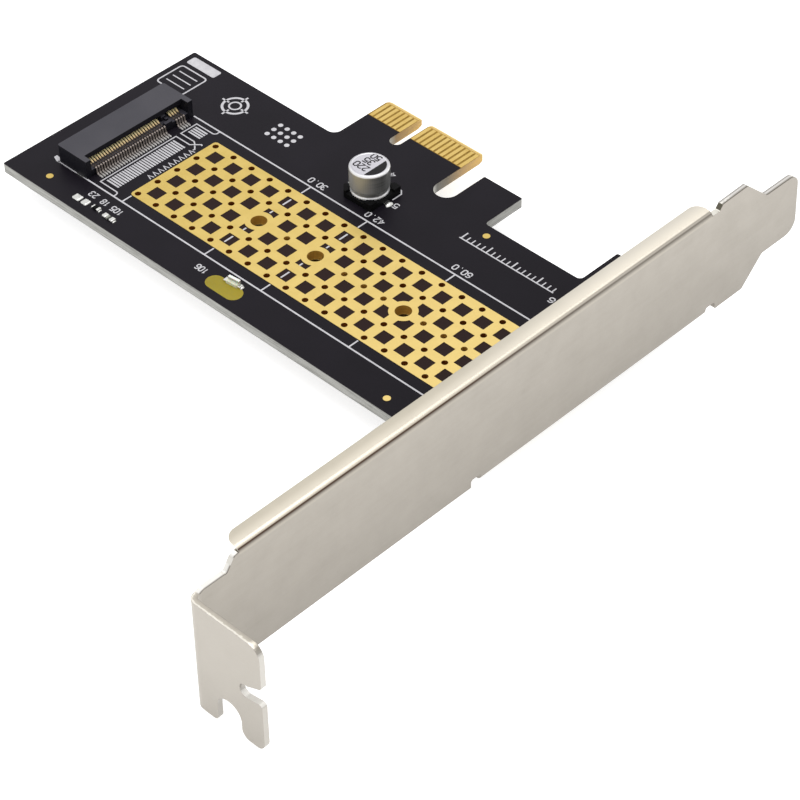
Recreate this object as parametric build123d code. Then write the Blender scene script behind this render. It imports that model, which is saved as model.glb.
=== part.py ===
from build123d import *
import math
import os

os.makedirs("parts", exist_ok=True)

# M.2 solid-state-drive to PCI Express x1 adapter card, in millimetres.
# Origin: the M.2 datum on the card's component face (the line that drive
# lengths are measured from, on the drive's centre line). +X runs along the
# drive towards the slot bracket, +Y towards the edge fingers, +Z up from the
# component face, so the board fills z = -board_t .. 0.

# ---------------------------------------------------------------- dimensions
board_t = 1.6              # laminate thickness
board_x0, board_x1 = -8.65, 88.35
board_y0, board_y1 = -17.13, 22.70
finger_x0, finger_x1, finger_tip = 23.10, 43.05, 35.10   # x1 finger tab
finger_bevel_y, finger_bevel_z = 1.02, 0.40              # lead-in bevel, each face
key_x0, key_x1, key_y = 30.05, 32.20, 27.10              # key notch
slot_x1 = 47.10                                          # slot beside the tab
hook_x1, hook_y = 54.85, 30.90                           # retention hook
strip_x0, strip_y = 73.75, 30.90                         # right-hand strip

standoff_d = 2.55          # holes for 30, 42, 60 and 80 mm drives
standoff_x = (30.0, 42.0, 60.0, 80.0)
standoff_ring = 4.40       # gilded ring around each

pad_x0, pad_x1, pad_y0, pad_y1 = 11.10, 84.90, -8.85, 8.90   # heat pad
copper_t = 0.05            # gilded copper above the laminate
via_d, lattice = 1.00, 4.0
window = 2.25              # square openings in the heat pad

contact_w, contact_y0, contact_y1 = 0.63, 30.05, 34.05   # edge fingers
key_centre = 31.20         # the mechanical key's centre line
fiducial_d = 1.15
fiducial_at = ((-1.0, -14.3), (71.3, -14.9), (57.05, 20.65))

sheet = 0.86               # bracket sheet
br_x = 90.25               # outer face of the bracket
br_bottom, br_top = -2.46, 16.45
br_flange_x = 87.10        # inner edge of the upper flange
br_flange_y0, br_flange_y1 = -59.90, 31.40
br_bend = 1.05             # outer radius of the flange bends
br_foot_x = 86.00          # inner edge of the lower flange
br_foot_y0, br_foot_y1 = -16.00, 31.30
br_ear_x, br_ear_half = 79.90, 2.90
br_screw_x, br_screw_y = 83.90, (-11.90, 26.00)
tongue_z0, tongue_z1, tongue_y, tongue_tip = 1.75, 12.38, 43.75, 51.35
tab_y = -68.35             # outer face of the screw tab
tab_bend = 1.50            # outer radius of the tab's fold
tab_x1, tab_z0, tab_z1 = 102.35, -5.70, 13.50
prong_z0 = -5.05           # lower end of the tab's outer prong
shoulder_z = 13.85         # strip's upper edge beside the tab
notch_x, notch_z, notch_r = 96.05, -2.60, 2.21           # screw notch
align_x, align_z, align_r = 99.45, 4.15, 1.10            # alignment slot

screw_d, screw_head_d, screw_head_h = 2.90, 5.50, 1.90
board_screw_hole, ear_hole = 3.20, 2.90

socket_x0, socket_face, socket_ear_x = -2.80, 2.35, 3.80
socket_half, socket_inner = 10.90, 9.95
socket_h, slot_z0, slot_z1 = 3.20, 1.12, 1.95
jaw_x = 3.70
pin_w, pin_t, pin_pitch = 0.28, 0.13, 0.50
peg = ((0.20, -10.05, 0.55), (0.20, 10.05, 0.80))        # x, y, radius

cap_x, cap_y, cap_r, cap_h = 37.35, 16.10, 3.15, 5.52
cap_base, cap_base_h, cap_post_z = 6.60, 0.90, 1.30


# ------------------------------------------------------------------- helpers
def outline(points):
    """Face in the XY plane; each point is (a, b) or (a, b, corner radius)."""
    n = len(points)
    runs = []
    for i, p in enumerate(points):
        q, s = points[i - 1], points[(i + 1) % n]
        if len(p) < 3 or p[2] <= 0:
            runs.append(((p[0], p[1]), None, (p[0], p[1])))
            continue
        ux, uy = q[0] - p[0], q[1] - p[1]
        vx, vy = s[0] - p[0], s[1] - p[1]
        ul, vl = math.hypot(ux, uy), math.hypot(vx, vy)
        ux, uy, vx, vy = ux / ul, uy / ul, vx / vl, vy / vl
        half = math.acos(max(-1.0, min(1.0, ux * vx + uy * vy))) / 2
        d = p[2] / math.tan(half)
        bx, by = ux + vx, uy + vy
        bl = math.hypot(bx, by)
        bx, by = bx / bl, by / bl
        k = p[2] / math.sin(half) - p[2]
        runs.append(((p[0] + ux * d, p[1] + uy * d),
                     (p[0] + bx * k, p[1] + by * k),
                     (p[0] + vx * d, p[1] + vy * d)))
    edges = []
    for i, (a, m, b) in enumerate(runs):
        last = runs[i - 1][2]
        if math.dist(last, a) > 1e-6:
            edges.append(Edge.make_line((*last, 0), (*a, 0)))
        if m is not None:
            edges.append(Edge.make_three_point_arc((*a, 0), (*m, 0), (*b, 0)))
    return Face(Wire(edges))


def slab(face, z0, z1):
    return extrude(Pos(0, 0, z0) * face, amount=z1 - z0, dir=(0, 0, 1))


def along_y(face, y0, y1):
    """Face drawn as (x, z), carried from y0 to y1."""
    plane = Plane(origin=(0, y0, 0), x_dir=(1, 0, 0), z_dir=(0, -1, 0))
    return extrude(plane * face, amount=y1 - y0, dir=(0, 1, 0))


def along_x(face, x0, x1):
    """Face drawn as (y, z), carried from x0 to x1."""
    plane = Plane(origin=(x0, 0, 0), x_dir=(0, 1, 0), z_dir=(1, 0, 0))
    return extrude(plane * face, amount=x1 - x0, dir=(1, 0, 0))


def block(x0, x1, y0, y1, z0, z1):
    return Pos((x0 + x1) / 2, (y0 + y1) / 2, (z0 + z1) / 2) * Box(
        x1 - x0, y1 - y0, z1 - z0)


def rod(x, y, r, z0, z1):
    return Pos(x, y, (z0 + z1) / 2) * Cylinder(r, z1 - z0)


def ribbon(points, t):
    """Outline of a strip of thickness t that follows a line of points."""
    left, right = [], []
    n = len(points)
    for i, (x, z) in enumerate(points):
        dirs = []
        if i > 0:
            dirs.append((x - points[i - 1][0], z - points[i - 1][1]))
        if i < n - 1:
            dirs.append((points[i + 1][0] - x, points[i + 1][1] - z))
        dirs = [(a / math.hypot(a, b), b / math.hypot(a, b)) for a, b in dirs]
        nx = -sum(b for a, b in dirs) / len(dirs)
        nz = sum(a for a, b in dirs) / len(dirs)
        length = math.hypot(nx, nz)
        nx, nz = nx / length, nz / length
        k = t / 2 / max(0.5, length)
        left.append((x + nx * k, z + nz * k))
        right.append((x - nx * k, z - nz * k))
    return left + right[::-1]


def save(name, *shapes):
    solids = [s for shape in shapes for s in shape.solids()]
    whole = solids[0] if len(solids) == 1 else Compound(children=solids)
    whole.label = name
    export_step(whole, f"parts/{name}.step")


# --------------------------------------------------------------------- board
board_outline = outline([
    (board_x0, board_y0, 0.3), (board_x1, board_y0, 0.3),
    (board_x1, strip_y, 0.3), (strip_x0, strip_y, 0.3),
    (strip_x0, board_y1, 0.8), (hook_x1, board_y1, 0.6),
    (hook_x1, hook_y, 0.2), (slot_x1, hook_y, 0.2),
    (slot_x1, board_y1, 2.02), (finger_x1, board_y1, 2.02),
    (finger_x1, finger_tip, 0.5), (key_x1, finger_tip, 0.3),
    (key_x1, key_y, 1.07), (key_x0, key_y, 1.07),
    (key_x0, finger_tip, 0.3), (finger_x0, finger_tip, 0.5),
    (finger_x0, board_y1, 1.5), (board_x0, board_y1, 0.3),
])
vias = [
    (x0, y0)
    for x0 in (12.0 + lattice * i for i in range(19))
    for y0 in (-8.0, -4.0, 0.0, 4.0, 8.0)
    if not (y0 == 0.0 and x0 in (28.0, 32.0, 40.0, 44.0, 60.0, 80.0))
]
round_holes = (
    [Pos(x, y) * Circle(via_d / 2) for x, y in vias]
    + [Pos(x, 0) * Circle(standoff_d / 2) for x in standoff_x]
)
board_holes = round_holes + [
    Pos(br_screw_x, y) * Circle(board_screw_hole / 2) for y in br_screw_y
] + [Pos(x, y) * Circle(r + 0.05) for x, y, r in peg]
board = slab(Sketch() + board_outline - board_holes, -board_t, 0)
past = finger_bevel_z * (finger_bevel_y + 0.3) / finger_bevel_y
bevel_hi = outline([(finger_tip - finger_bevel_y, 0.0),
                    (finger_tip - finger_bevel_y, 0.2), (finger_tip + 0.3, 0.2),
                    (finger_tip + 0.3, -past)])
bevel_lo = outline([(finger_tip - finger_bevel_y, -board_t),
                    (finger_tip + 0.3, -board_t + past),
                    (finger_tip + 0.3, -board_t - 0.2),
                    (finger_tip - finger_bevel_y, -board_t - 0.2)])
board -= along_x(bevel_hi, finger_x0 - 1, finger_x1 + 1)
board -= along_x(bevel_lo, finger_x0 - 1, finger_x1 + 1)
# Stubs left where the board was broken out of its production panel.
for x, y in ((14.3, board_y1), (15.2, board_y1), (16.1, board_y1), (17.0, board_y1),
             (50.0, hook_y), (50.9, hook_y), (51.8, hook_y)):
    board += block(x - 0.2, x + 0.2, y - 0.2, y + 0.14, -board_t + 0.25, -0.25)
save("board", board)

# -------------------------------------------------------- copper of the board
pad = Sketch() + Pos((pad_x0 + pad_x1) / 2, (pad_y0 + pad_y1) / 2) * RectangleRounded(
    pad_x1 - pad_x0, pad_y1 - pad_y0, 0.6)
pad -= [Pos(14.0 + lattice * i, y) * Rectangle(window, window)
        for i in range(18) for y in (-6.0, -2.0, 2.0, 6.0)]
pad += [Pos(x, 0) * Circle(standoff_ring / 2) for x in standoff_x]
pad -= round_holes
save("thermal_pad", slab(pad, 0, copper_t))

rear = Sketch() + Pos((pad_x0 + pad_x1) / 2, (pad_y0 + pad_y1) / 2) * RectangleRounded(
    pad_x1 - pad_x0, pad_y1 - pad_y0, 0.6)
rear -= round_holes
save("rear_thermal_pad", slab(rear, -board_t - copper_t, -board_t))

finger_x = [key_centre - 1.5 - i for i in range(7)] + [
    key_centre + 1.5 + i for i in range(11)]
for name, z0 in (("edge_contacts_front", 0.0), ("edge_contacts_rear", -board_t - copper_t)):
    save(name, *[block(x - contact_w / 2, x + contact_w / 2, contact_y0, contact_y1,
                       z0, z0 + copper_t) for x in finger_x])

save("fiducials", *[rod(x, y, fiducial_d / 2, 0, copper_t) for x, y in fiducial_at])

# -------------------------------------------------------------------- bracket
# One bent sheet. The strip lies across the slot, its tongue at +Y, its screw
# tab folded out at -Y, an upper flange that stiffens it and a lower flange
# with two ears that the board is screwed to.
strip_face = outline([
    (tab_y + tab_bend, tab_z0 + 0.05), (-63.6, tab_z0 + 0.05, 1.0),
    (-62.0, -3.4, 1.2), (-60.6, br_bottom, 0.8),
    (br_foot_y0 - 2.0, br_bottom, 0.1), (br_foot_y0 - 2.0, br_bottom + 1.3, 0.4),
    (br_foot_y0, br_bottom + 1.3, 0.4), (br_foot_y0, br_bottom + 0.9),
    (br_foot_y1, br_bottom + 0.9), (br_foot_y1, br_bottom + 1.3, 0.4),
    (br_foot_y1 + 2.1, br_bottom + 1.3, 0.5), (br_foot_y1 + 2.1, br_bottom, 0.2),
    (39.5, br_bottom, 0.6), (tongue_y, tongue_z0, 0.8),
    (tongue_tip, tongue_z0, 2.2), (tongue_tip - 0.35, tongue_z1, 2.0),
    (tongue_y, tongue_z1 + 0.05, 0.9), (39.05, br_top + 0.34, 0.4),
    (br_flange_y1 + 2.15, br_top + 0.20, 0.3), (br_flange_y1 + 1.5, br_top - 0.62, 0.3),
    (br_flange_y1, br_top - 0.62, 0.1), (br_flange_y1, br_top - br_bend),
    (br_flange_y0, br_top - br_bend), (br_flange_y0 - 0.02, br_top - 0.55, 0.15),
    (-60.85, br_top - 0.80, 0.8), (-62.15, shoulder_z - 0.10, 0.3),
    (-62.6, shoulder_z, 0.3), (-66.1, shoulder_z, 0.8), (tab_y + tab_bend, tab_z1 + 0.02),
    (tab_y + tab_bend, tab_z1),
])
bracket = along_x(strip_face, br_x - sheet, br_x)


def bend(cx, cz, r, up):
    """Quarter ring of the sheet about (cx, cz), drawn in (x, z); the strip is
    on its +X side and the flange goes towards -X above or below."""
    s = 1 if up else -1
    ri = r - sheet
    c45 = math.cos(math.pi / 4)
    edges = [
        Edge.make_three_point_arc((cx + r, cz, 0), (cx + r * c45, cz + s * r * c45, 0),
                                  (cx, cz + s * r, 0)),
        Edge.make_line((cx, cz + s * r, 0), (cx, cz + s * ri, 0)),
        Edge.make_three_point_arc((cx, cz + s * ri, 0),
                                  (cx + ri * c45, cz + s * ri * c45, 0),
                                  (cx + ri, cz, 0)),
        Edge.make_line((cx + ri, cz, 0), (cx + r, cz, 0)),
    ]
    return Face(Wire(edges))


# Upper flange, with rounded inner corners.
bx = br_x - br_bend
bracket += along_y(bend(bx, br_top - br_bend, br_bend, True), br_flange_y0, br_flange_y1)
bracket += slab(outline([
    (br_flange_x, br_flange_y0, 2.0), (bx, br_flange_y0),
    (bx, br_flange_y1), (br_flange_x, br_flange_y1, 1.7),
]), br_top - sheet, br_top)
# Lower flange and its two ears.
foot_bend = 0.90
fx = br_x - foot_bend
bracket += along_y(bend(fx, br_bottom + foot_bend, foot_bend, False), br_foot_y0, br_foot_y1)
lower = outline([
    (br_foot_x, br_foot_y0, 0.8), (fx, br_foot_y0), (fx, br_foot_y1),
    (br_foot_x, br_foot_y1, 0.8),
    (br_foot_x, br_screw_y[1] + br_ear_half, 0.8), (br_ear_x, br_screw_y[1] + br_ear_half, 2.4),
    (br_ear_x, br_screw_y[1] - br_ear_half, 2.4), (br_foot_x, br_screw_y[1] - br_ear_half, 0.8),
    (br_foot_x, br_screw_y[0] + br_ear_half, 0.8), (br_ear_x, br_screw_y[0] + br_ear_half, 2.4),
    (br_ear_x, br_screw_y[0] - br_ear_half, 2.4), (br_foot_x, br_screw_y[0] - br_ear_half, 0.5),
])
lower = Sketch() + lower - [Pos(br_screw_x, y) * Circle(ear_hole / 2) for y in br_screw_y]
bracket += slab(lower, br_bottom, br_bottom + sheet)

# Screw tab: fold, then the flat blade with its screw notch, open at the edge
# that faces the slot screw, and the alignment slot, open at the outer end.
tcx, tcy = br_x - sheet + tab_bend, tab_y + tab_bend
c45 = math.cos(math.pi / 4)
ri = tab_bend - sheet
fold = Face(Wire([
    Edge.make_three_point_arc((tcx - tab_bend, tcy, 0),
                              (tcx - tab_bend * c45, tcy - tab_bend * c45, 0),
                              (tcx, tcy - tab_bend, 0)),
    Edge.make_line((tcx, tcy - tab_bend, 0), (tcx, tcy - ri, 0)),
    Edge.make_three_point_arc((tcx, tcy - ri, 0), (tcx - ri * c45, tcy - ri * c45, 0),
                              (tcx - ri, tcy, 0)),
    Edge.make_line((tcx - ri, tcy, 0), (tcx - tab_bend, tcy, 0)),
]))
bracket += slab(fold, tab_z0 + 0.05, tab_z1)
blade = outline([
    (tcx, tab_z1), (tcx, tab_z0 + 0.05), (tcx + 0.5, tab_z0, 0.3),
    (notch_x - notch_r, tab_z0, 0.9), (notch_x - notch_r, notch_z + notch_r, 2.2),
    (notch_x + notch_r, notch_z + notch_r, 2.2), (notch_x + notch_r, prong_z0, 1.3),
    (tab_x1, prong_z0, 1.5), (tab_x1, align_z - align_r + 0.55, 0.6),
    (align_x, align_z - align_r, 0.4), (align_x - align_r, align_z - align_r, 1.05),
    (align_x - align_r, align_z + align_r, 1.05), (align_x + 0.3, align_z + align_r, 0.4),
    (tab_x1, align_z + align_r + 1.25, 0.7), (tab_x1, tab_z1, 2.0),
])
bracket += along_y(blade, tab_y, tab_y + sheet)
save("bracket", bracket)

# Pan-head screws that hold the board to the bracket's ears.
screws = []
for y in br_screw_y:
    profile = outline([(0, -board_t - sheet - 0.65), (screw_d / 2 - 0.3, -board_t - sheet - 0.65),
                       (screw_d / 2, -board_t - sheet - 0.35), (screw_d / 2, 0),
                       (screw_head_d / 2, 0), (screw_head_d / 2, screw_head_h, 1.2),
                       (0, screw_head_h)])
    body = revolve(Plane.XZ * profile, axis=Axis.Z, revolution_arc=360)
    body -= block(-1.5, 1.5, -0.3, 0.3, screw_head_h - 1.0, screw_head_h + 1)
    body -= block(-0.3, 0.3, -1.5, 1.5, screw_head_h - 1.0, screw_head_h + 1)
    screws.append(Pos(br_screw_x, y, 0) * body)
save("bracket_screws", *screws)

# ----------------------------------------------------------------- M.2 socket
lower_y = [-9.0 + pin_pitch * i for i in range(29)] + [7.5 + pin_pitch * i for i in range(4)]
upper_y = [-9.25 + pin_pitch * i for i in range(29)] + [7.25 + pin_pitch * i for i in range(5)]
housing = block(socket_x0, socket_face, -socket_half, socket_half, 0, socket_h)
housing += block(socket_face - 0.5, jaw_x, -socket_half, socket_half, 0.12, slot_z0)
for s in (-1, 1):
    housing += block(socket_face - 0.5, socket_ear_x, min(s * socket_inner, s * socket_half),
                     max(s * socket_inner, s * socket_half), 0, socket_h)
housing = chamfer(housing.edges().filter_by(Axis.Z).group_by(Axis.X)[0], 0.25)
# Card slot, and the key rib that stands in it.
cavity = block(-0.9, 6, -socket_inner, socket_inner, slot_z0, slot_z1)
cavity -= block(-0.9, socket_face, 5.65, 6.60, slot_z0, slot_z1)
housing -= cavity
housing += block(1.9, 2.8, 6.20, 6.70, slot_z0 - 0.2, slot_z1 - 0.45)
housing += block(3.10, jaw_x, 5.30, 6.65, slot_z0 - 0.2, slot_z0 + 0.36)
# Lead-in bevel along the upper jaw's mouth.
lead = outline([(socket_face - 0.35, slot_z1), (socket_face + 0.1, slot_z1 - 0.1),
                (socket_face + 0.1, slot_z1 + 0.45)])
housing -= along_y(lead, -socket_inner, socket_inner)
# Row of slits for the lower contacts, and the deeper ones for the upper row.
slit = outline([(0.60, 0.45), (jaw_x + 0.5, 0.45), (jaw_x + 0.5, slot_z0 + 0.05),
                (0.60, slot_z0 + 0.05)])
housing -= [along_y(slit, y - pin_w / 2, y + pin_w / 2) for y in lower_y]
tunnel = outline([(socket_x0 - 0.5, -0.1), (-1.80, -0.1), (-1.80, 2.08), (-1.55, 2.30),
                  (-0.95, 2.30),
                  (-0.95, slot_z1 - 0.02), (1.90, slot_z1 - 0.02), (1.90, 2.54),
                  (-2.00, 2.54), (-2.00, 0.35), (socket_x0 - 0.5, 0.35)])
housing -= [along_y(tunnel, y - pin_w / 2, y + pin_w / 2) for y in upper_y]
# Locating pegs through the board.
for x, y, r in peg:
    housing += rod(x, y, r, -1.1, 0.2)
# Pockets for the solder tabs.
tab_s = []
for s in (-1, 1):
    y_in, y_out = s * 10.30, s * 11.15
    foot = block(1.60, 3.00, min(y_in, y_out), max(y_in, y_out), 0, 0.18)
    foot += block(1.60, 3.00, min(y_in, s * 10.48), max(y_in, s * 10.48), 0, 0.95)
    tab_s.append(foot)
    housing -= foot
save("socket_housing", housing)
save("socket_hold_downs", *tab_s)

lower_pin = outline(ribbon([(1.20, 1.42), (1.50, 1.60), (1.90, 1.57), (2.60, 1.16),
                            (3.20, 1.05), (3.45, 1.10), (3.65, 1.22), (3.82, 1.14),
                            (3.88, 0.90), (4.00, 0.32), (4.20, 0.09), (5.10, 0.07)], pin_t))
save("socket_lower_contacts", *[along_y(lower_pin, y - pin_w / 2, y + pin_w / 2)
                                for y in lower_y])
upper_pin = outline(ribbon([(-3.60, 0.07), (-2.15, 0.07), (-1.90, 0.30), (-1.90, 2.18),
                            (-1.68, 2.42), (0.20, 2.42), (1.25, 1.86), (1.70, 2.05)], pin_t))
save("socket_upper_contacts", *[along_y(upper_pin, y - pin_w / 2, y + pin_w / 2)
                                for y in upper_y])

# ------------------------------------------------------------------ capacitor
can = revolve(Plane.XZ * outline([
    (0, cap_base_h), (2.90, cap_base_h), (3.02, cap_base_h + 0.06), (3.02, cap_base_h + 0.24, 0.08),
    (2.86, cap_base_h + 0.50, 0.25), (2.98, cap_base_h + 0.95, 0.5), (3.15, cap_base_h + 1.25, 0.5),
    (3.15, cap_h, 0.42), (2.70, cap_h), (2.62, cap_h - 0.06), (0, cap_h - 0.06)]),
    axis=Axis.Z, revolution_arc=360)
save("capacitor_can", Pos(cap_x, cap_y, 0) * can)

half = cap_base / 2
base = slab(outline([(-half + 1.0, -half), (half, -half, 0.1), (half, half, 0.1),
                     (-half + 1.0, half), (-half, half - 1.0), (-half, -half + 1.0)]),
            0, cap_post_z)
base -= rod(0, 0, 3.24, cap_base_h, cap_post_z + 1)
base -= block(-5, 5, -1.9, 1.9, cap_base_h, cap_post_z + 1)
base -= block(-1.9, 1.9, -5, 5, cap_base_h, cap_post_z + 1)
leads = []
for s in (-1, 1):
    lead = block(min(s * 0.9, s * 4.15), max(s * 0.9, s * 4.15), -0.55, 0.55, 0, 0.20)
    leads.append(Pos(cap_x, cap_y, 0) * lead)
    base -= lead
save("capacitor_base", Pos(cap_x, cap_y, 0) * base)
save("capacitor_leads", *leads)

# --------------------------------------------------- lamps and small chip parts
# Activity lamp at the translucent oval: clear body with a raised back bar. It
# sits a few degrees askew.
lamp_at = Pos(37.82, -12.55, 0) * Rot(0, 0, 6)
lamp = block(-1.05, 1.05, -0.55, 0.30, 0, 0.50)
lamp += block(-1.05, 1.05, -0.02, 0.42, 0.45, 0.95)
save("led_body", lamp_at * lamp)
ends = []
for x0, x1 in ((-1.60, -1.05), (1.05, 1.62)):
    end = block(x0, x1, -0.48, 0.32, 0, 0.42)
    ends.append(lamp_at * fillet(end.edges().group_by(Axis.Z)[-1], 0.16))
save("led_terminals", *ends)


def cap_end(x0, x1, y0, y1, h, r):
    """Soldered end: a small block with a rounded top."""
    end = block(x0, x1, y0, y1, 0, h)
    end = fillet(end.edges().filter_by(Axis.Z), r * 1.2)
    return fillet(end.edges().group_by(Axis.Z)[-1], r)


save("indicator_body", block(12.95, 13.65, -15.35, -14.60, 0, 0.32))
save("indicator_terminals", cap_end(12.10, 12.95, -15.45, -14.50, 0.42, 0.18),
     cap_end(13.65, 14.45, -15.45, -14.50, 0.42, 0.18))
save("resistor_body", block(9.70, 10.45, -15.10, -14.35, 0, 0.34))
save("resistor_terminals", cap_end(9.40, 9.70, -15.10, -14.35, 0.34, 0.08),
     cap_end(10.45, 10.95, -15.15, -14.30, 0.40, 0.13))
save("solder_pads", cap_end(5.35, 6.90, -15.55, -14.20, 0.30, 0.25),
     cap_end(7.25, 8.55, -15.50, -14.15, 0.30, 0.25))
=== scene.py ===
import math

import bmesh
import bpy
from mathutils import Matrix, Vector


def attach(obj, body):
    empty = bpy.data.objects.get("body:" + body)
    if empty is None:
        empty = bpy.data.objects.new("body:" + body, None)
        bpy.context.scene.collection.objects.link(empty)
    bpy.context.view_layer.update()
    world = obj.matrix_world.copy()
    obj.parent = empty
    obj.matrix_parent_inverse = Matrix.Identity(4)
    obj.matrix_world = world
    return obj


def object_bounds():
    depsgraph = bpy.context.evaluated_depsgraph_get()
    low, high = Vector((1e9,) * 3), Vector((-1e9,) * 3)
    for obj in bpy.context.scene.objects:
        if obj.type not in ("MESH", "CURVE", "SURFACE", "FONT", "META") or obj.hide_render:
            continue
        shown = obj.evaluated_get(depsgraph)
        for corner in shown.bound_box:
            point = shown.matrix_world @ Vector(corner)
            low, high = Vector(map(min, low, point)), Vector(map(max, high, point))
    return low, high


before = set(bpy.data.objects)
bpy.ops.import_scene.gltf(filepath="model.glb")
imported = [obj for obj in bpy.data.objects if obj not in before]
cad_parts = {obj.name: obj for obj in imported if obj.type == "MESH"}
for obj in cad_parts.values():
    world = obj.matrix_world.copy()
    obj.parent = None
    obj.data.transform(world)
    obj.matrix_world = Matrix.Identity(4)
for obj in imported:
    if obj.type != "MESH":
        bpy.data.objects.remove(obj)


def corners(b):
    return [[float(v) for v in p] for p in b]


cad_box = corners(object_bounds())
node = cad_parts
MM = 0.001
TOP = 0.0          # component face of the board, mm
BOTTOM = -1.6


# =====================================================================
# node-material helpers
# =====================================================================
class Mat:
    """A node material with short helpers for building its graph."""

    def __init__(self, name):
        self.m = bpy.data.materials.new(name)
        self.m.use_nodes = True
        self.t = self.m.node_tree
        self.t.nodes.clear()
        self.out = self.t.nodes.new("ShaderNodeOutputMaterial")
        self.b = self.t.nodes.new("ShaderNodeBsdfPrincipled")
        self.link(self.b.outputs[0], self.out.inputs["Surface"])
        self.co = self.t.nodes.new("ShaderNodeTexCoord").outputs["Object"]

    def link(self, a, b):
        self.t.links.new(a, b)

    def put(self, socket, value):
        if hasattr(value, "default_value"):
            self.link(value, socket)
        else:
            socket.default_value = value

    def set(self, **values):
        for key, value in values.items():
            socket = self.b.inputs[key.replace("_", " ")]
            if isinstance(value, tuple) and len(value) == 3:
                value = (*value, 1.0)
            self.put(socket, value)
        return self

    def math(self, op, a, b=0.0, c=None, clamp=False):
        n = self.t.nodes.new("ShaderNodeMath")
        n.operation = op
        n.use_clamp = clamp
        self.put(n.inputs[0], a)
        self.put(n.inputs[1], b)
        if c is not None:
            self.put(n.inputs[2], c)
        return n.outputs[0]

    def xyz(self, vector=None):
        n = self.t.nodes.new("ShaderNodeSeparateXYZ")
        self.link(vector or self.co, n.inputs[0])
        return n.outputs

    def normal(self):
        n = self.t.nodes.new("ShaderNodeNewGeometry")
        return n.outputs["True Normal"] if "True Normal" in n.outputs else n.outputs["Normal"]

    def scaled(self, sx, sy, sz):
        n = self.t.nodes.new("ShaderNodeMapping")
        self.link(self.co, n.inputs["Vector"])
        n.inputs["Scale"].default_value = (sx, sy, sz)
        return n.outputs[0]

    def noise(self, scale, detail=3.0, rough=0.5, vector=None, distortion=0.0):
        n = self.t.nodes.new("ShaderNodeTexNoise")
        self.link(vector or self.co, n.inputs["Vector"])
        n.inputs["Scale"].default_value = scale
        n.inputs["Detail"].default_value = detail
        n.inputs["Roughness"].default_value = rough
        n.inputs["Distortion"].default_value = distortion
        return n.outputs[0]

    def ramp(self, value, *stops):
        n = self.t.nodes.new("ShaderNodeValToRGB")
        self.link(value, n.inputs[0])
        e = n.color_ramp.elements
        while len(e) < len(stops):
            e.new(0.5)
        for item, (pos, col) in zip(e, stops):
            item.position = pos
            item.color = (*col, 1.0) if len(col) == 3 else col
        return n.outputs[0]

    def remap(self, value, a0, a1, b0, b1):
        n = self.t.nodes.new("ShaderNodeMapRange")
        n.clamp = True
        self.link(value, n.inputs[0])
        for i, v in enumerate((a0, a1, b0, b1)):
            n.inputs[i + 1].default_value = v
        return n.outputs[0]

    def mix(self, factor, a, b):
        n = self.t.nodes.new("ShaderNodeMix")
        n.data_type = "RGBA"
        self.put(n.inputs[0], factor)
        for socket, v in ((n.inputs[6], a), (n.inputs[7], b)):
            self.put(socket, (*v, 1.0) if isinstance(v, tuple) and len(v) == 3 else v)
        return n.outputs[2]

    def both(self, *factors):
        """Product of several 0..1 masks."""
        got = factors[0]
        for f in factors[1:]:
            got = self.math("MULTIPLY", got, f)
        return got

    def inside(self, value, low, high, soft):
        """1 where value lies between low and high."""
        a = self.remap(value, low - soft, low + soft, 0.0, 1.0)
        b = self.remap(value, high - soft, high + soft, 1.0, 0.0)
        return self.math("MULTIPLY", a, b)

    def bump(self, height, distance, strength=1.0, round_edges=None):
        n = self.t.nodes.new("ShaderNodeBump")
        n.inputs["Strength"].default_value = strength
        n.inputs["Distance"].default_value = distance
        self.link(height, n.inputs["Height"])
        if round_edges:
            r = self.t.nodes.new("ShaderNodeBevel")
            r.samples = 4
            r.inputs["Radius"].default_value = round_edges
            self.link(r.outputs[0], n.inputs["Normal"])
        self.link(n.outputs[0], self.b.inputs["Normal"])
        return self


def rgb(r, g, b):
    """Linear colour of an 8-bit display colour."""
    return tuple(((c / 255 + 0.055) / 1.055) ** 2.4 if c > 10 else c / 255 / 12.92 for c in (r, g, b))


def wear(name, *nodes_):
    """Give CAD nodes a material in their own slots."""
    for n in nodes_:
        o = node[n]
        o.data.materials.clear()
        o.data.materials.append(name)


# ---- circuit board: mask, laminate edge, plated hole walls, bare finger end
m = Mat("board_mask_laminate")
x, y, z = m.xyz()
nx, ny, nz = m.xyz(m.normal())
side = m.remap(m.math("ABSOLUTE", nz), 0.35, 0.45, 1.0, 0.0)
cloud = m.noise(95.0, 2.0, 0.5)
fine = m.noise(2600.0, 3.0, 0.6)
mask = m.mix(m.remap(cloud, 0.35, 0.65, 0.0, 1.0), (0.0082, 0.0066, 0.0104), (0.0104, 0.0084, 0.0132))
mask = m.mix(m.remap(fine, 0.45, 0.75, 0.0, 0.35), mask, (0.014, 0.013, 0.017))
# painted shade: the mask is painted darker towards the bracket end
mask = m.mix(m.remap(x, 0.0, 0.085, 0.0, 0.45), mask, (0.0028, 0.0018, 0.0042))
mask = m.mix(m.both(m.inside(x, 0.0112, 0.0848, 0.0001), m.inside(y, -0.0088, 0.0088, 0.0001)), mask, (0.0185, 0.0078, 0.0068))
# glass-cloth layers that show on the routed edge
layers = m.noise(1.0, 2.0, 0.6, vector=m.scaled(260.0, 260.0, 5200.0))
edge = m.ramp(layers, (0.30, (0.24, 0.24, 0.226)), (0.50, (0.355, 0.355, 0.336)), (0.72, (0.425, 0.425, 0.406)))
copper_line = m.math("ADD", m.inside(z, -0.00010, 0.0002, 0.00002), m.inside(z, -0.0018, -0.00150, 0.00002), clamp=True)
edge = m.mix(m.math("MULTIPLY", copper_line, 0.6), edge, (0.10, 0.095, 0.095))
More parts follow.
